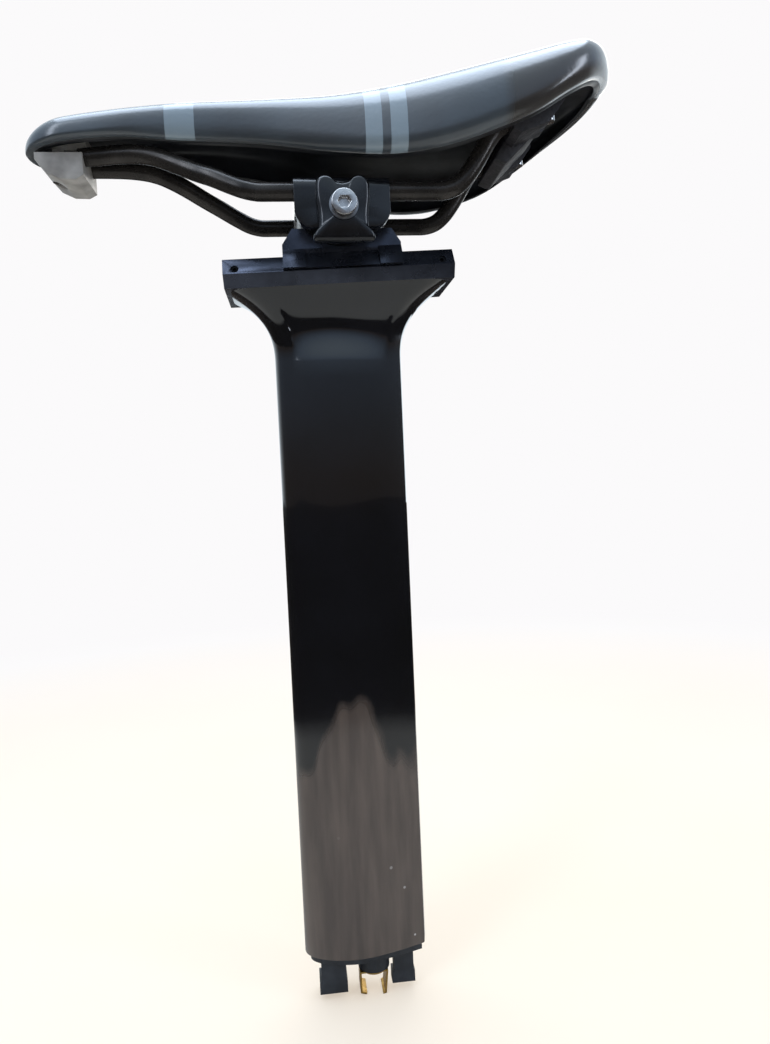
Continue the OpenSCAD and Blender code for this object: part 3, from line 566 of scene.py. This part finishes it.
# ---------------------------------------------------------------- carried-over parts
# Edge rounding of each part kept from the model, in mm; parts not listed keep their own mesh.
ROUNDED = {"head_rail": 0.7, "carriage": 1.0, "clamp_rocker": 0.7, "clamp_jaw_near": 0.7,
           "clamp_jaw_far": 0.7, "clamp_bolt": 0.5, "nose_clip": 1.1, "rear_socket_near": 0.9,
           "rear_socket_far": 0.9, "rear_bracket": 0.8, "end_plug": 0.7, "clamp_nut": 0.4,
           "plug_clip": 0.15}


def rounded_copy(node, width, body, slot):
    """A copy of a part's mesh, merged, its flat faces joined, and its edges rounded."""
    piece = bpy.data.objects.new(node + "_finished", frame["nodes"][node].data.copy())
    bpy.context.scene.collection.objects.link(piece)
    work = bmesh.new()
    work.from_mesh(piece.data)
    bmesh.ops.remove_doubles(work, verts=work.verts, dist=1e-6)
    bmesh.ops.dissolve_limit(work, angle_limit=math.radians(0.5), verts=work.verts, edges=work.edges)
    work.to_mesh(piece.data)
    work.free()
    piece.data.shade_smooth()
    bevel = piece.modifiers.new("edges", "BEVEL")
    bevel.width = width * MM
    bevel.segments = 3
    bevel.limit_method = "ANGLE"
    bevel.angle_limit = math.radians(30)
    bevel.harden_normals = True
    piece.data.materials.clear()
    finish_piece(piece, body, LOOKS[slot], [node])


class SEATPOST_OT_hardware(bpy.types.Operator):
    """Gives every part kept from the model its finish, and rounds the edges of the larger ones"""
    bl_idname = "seatpost.hardware"
    bl_label = "Clamp, rail and plug"

    def execute(self, context):
        bodies = frame["record"]["behaviour"]["bodies"]
        for row in frame["record"]["subparts"]:
            node, slot = row["node"], row["material_slot"]
            if slot not in LOOKS:
                continue
            mesh = frame["nodes"][node].data
            mesh.materials.clear()
            mesh.materials.append(LOOKS[slot])
            if node in ROUNDED:
                body = next(name for name, nodes in bodies.items() if node in nodes)
                rounded_copy(node, ROUNDED[node], body, slot)
        return {"FINISHED"}


# ---------------------------------------------------------------- stage
def lamp(name, place, size, power, tint):
    """A soft area lamp that faces the saddle clamp."""
    data = bpy.data.lights.new(name, "AREA")
    data.shape = "RECTANGLE"
    data.size, data.size_y = size
    data.energy = power
    data.color = linear(tint)[:3]
    piece = bpy.data.objects.new(name, data)
    piece.location = place
    piece.rotation_euler = (Vector((0, 0, 0.2)) - Vector(place)).to_track_quat("-Z", "Y").to_euler()
    bpy.context.scene.collection.objects.link(piece)


class SEATPOST_OT_stage(bpy.types.Operator):
    """Sets the pale floor, the soft light and the camera"""
    bl_idname = "seatpost.stage"
    bl_label = "Stage"

    def execute(self, context):
        scene = context.scene
        scene.view_settings.view_transform = "Standard"
        data = bpy.data.cameras.new("camera")
        data.sensor_width = 36.0
        data.lens = 27.63
        camera = bpy.data.objects.new("camera", data)
        right = Vector((0.99273, -0.11216, -0.04392))
        up = Vector((0.04996, 0.05174, 0.99741))
        back = right.cross(up)
        turned = Matrix((right, up, back)).transposed().to_4x4()
        camera.matrix_world = Matrix.Translation((-0.020574, -0.331422, 0.199203)) @ turned
        scene.collection.objects.link(camera)
        scene.camera = camera

        low = CAD_BOX[0][2]
        half_floor = 6.0                # in metres
        corners = [[[x, y, low] for x in (-half_floor, half_floor)] for y in (-half_floor, half_floor)]
        floor = surface("floor", np.array(corners), around=False)
        look, tree, body, place = new_material("painted floor", Roughness=0.7)
        patches = add(tree, "ShaderNodeTexNoise", [("Vector", place)], Scale=1 / (300 * MM), Detail=3.0)
        tint = add(tree, "ShaderNodeValToRGB", [("Fac", patches.outputs["Fac"])],
                   [(0.3, linear("#efe2cf")), (0.7, linear("#f5eadb"))])
        tree.links.new(tint.outputs["Color"], body.inputs["Base Color"])
        away = add(tree, "ShaderNodeVectorMath", [(0, place)], operation="LENGTH").outputs["Value"]
        far = add(tree, "ShaderNodeMapRange", [("Value", away)], From_Min=0.1, From_Max=0.9,
                  To_Min=0.55, To_Max=1.0).outputs[0]
        seen = add(tree, "ShaderNodeLightPath").outputs["Is Camera Ray"]
        share = add(tree, "ShaderNodeMath", [(0, far), (1, seen)], operation="MULTIPLY").outputs[0]
        pale = add(tree, "ShaderNodeValToRGB", [("Fac", far)],
                   [(0.55, linear("#fdeedb")), (0.95, linear("#fbfafb"))]).outputs["Color"]
        glow = add(tree, "ShaderNodeEmission", [("Color", pale)], Strength=1.0).outputs[0]
        both = add(tree, "ShaderNodeMixShader", [("Fac", share), (1, body.outputs[0]), (2, glow)]).outputs[0]
        # Gloss shows the near floor faintly and, away from the object, a dark room.
        dim = add(tree, "ShaderNodeMapRange", [("Value", away)], From_Min=0.36, From_Max=0.42,
                  To_Min=0.6).outputs[0]
        mirrored = add(tree, "ShaderNodeLightPath").outputs["Is Glossy Ray"]
        dim = add(tree, "ShaderNodeMath", [(0, dim), (1, mirrored)], operation="MULTIPLY").outputs[0]
        room = add(tree, "ShaderNodeEmission", Color=linear("#3a3634"), Strength=1.0).outputs[0]
        both = add(tree, "ShaderNodeMixShader", [("Fac", dim), (1, both), (2, room)]).outputs[0]
        end = next(n for n in tree.nodes if n.type == "OUTPUT_MATERIAL")
        tree.links.new(both, end.inputs["Surface"])
        floor.data.materials.append(look)

        world = bpy.data.worlds.new("studio")
        world.use_nodes = True
        tree = world.node_tree
        tree.nodes.clear()
        sides = add(tree, "ShaderNodeSeparateXYZ",
                    [("Vector", add(tree, "ShaderNodeTexCoord").outputs["Generated"])])
        low_sky = add(tree, "ShaderNodeValToRGB", [("Fac", sides.outputs["Z"])],
                      [(0.0, linear("#6b625c")), (0.12, linear("#78818f")), (0.4, linear("#a9bdd6")),
                       (0.8, linear("#d4e8fa"))])
        behind = add(tree, "ShaderNodeMapRange", [("Value", sides.outputs["Y"])], From_Min=0.15,
                     From_Max=0.7).outputs[0]
        sky = add(tree, "ShaderNodeMix", [("Factor", behind), ("A", low_sky.outputs["Color"]),
                                          ("B", linear("#e8f3fb"))], data_type="RGBA")
        light = add(tree, "ShaderNodeBackground", [("Color", sky.outputs["Result"])],
                    Strength=1.0).outputs[0]
        shown = add(tree, "ShaderNodeBackground", Color=linear("#fbfafb"), Strength=1.0).outputs[0]
        seen = add(tree, "ShaderNodeLightPath").outputs["Is Camera Ray"]
        mixed = add(tree, "ShaderNodeMixShader", [("Fac", seen), (1, light), (2, shown)]).outputs[0]
        add(tree, "ShaderNodeOutputWorld", [("Surface", mixed)])
        scene.world = world
        lamp("overhead", (0.0, 0.1, 1.5), (1.3, 1.1), 20, "#dcebff")
        lamp("window", (-0.9, -0.9, 1.1), (0.35, 1.1), 7, "#e6f0ff")
        lamp("side_window", (1.2, -0.7, 0.6), (0.2, 1.0), 5, "#e6f0ff")
        lamp("back_light", (0.3, 1.1, 0.9), (1.0, 0.8), 5, "#fff6ea")
        return {"FINISHED"}


class SEATPOST_PT_panel(bpy.types.Panel):
    """Lists the pieces and their sizes"""
    bl_idname = "SEATPOST_PT_panel"
    bl_label = "Seatpost"
    bl_space_type = "VIEW_3D"
    bl_region_type = "UI"
    bl_category = "Seatpost"

    def draw(self, context):
        for group in (context.scene.post_sizes, context.scene.saddle_sizes):
            for key in group.__annotations__:
                self.layout.prop(group, key)
        for kind in OPERATORS:
            self.layout.operator(kind.bl_idname)


OPERATORS = (SEATPOST_OT_stage, SEATPOST_OT_post, SEATPOST_OT_saddle, SEATPOST_OT_rails,
             SEATPOST_OT_plates, SEATPOST_OT_hardware)
CLASSES = (PostSizes, SaddleSizes, *OPERATORS, SEATPOST_PT_panel)


def register():
    for kind in CLASSES:
        bpy.utils.register_class(kind)
    bpy.types.Scene.post_sizes = bpy.props.PointerProperty(type=PostSizes)
    bpy.types.Scene.saddle_sizes = bpy.props.PointerProperty(type=SaddleSizes)


def unregister():
    del bpy.types.Scene.post_sizes
    del bpy.types.Scene.saddle_sizes
    for kind in reversed(CLASSES):
        bpy.utils.unregister_class(kind)


def main():
    register()
    LOOKS.update(make_looks(bpy.context.scene))
    bpy.ops.seatpost.stage()
    bpy.ops.seatpost.post()
    bpy.ops.seatpost.saddle()
    bpy.ops.seatpost.rails()
    bpy.ops.seatpost.plates()
    bpy.ops.seatpost.hardware()


if __name__ == "__main__":
    main()
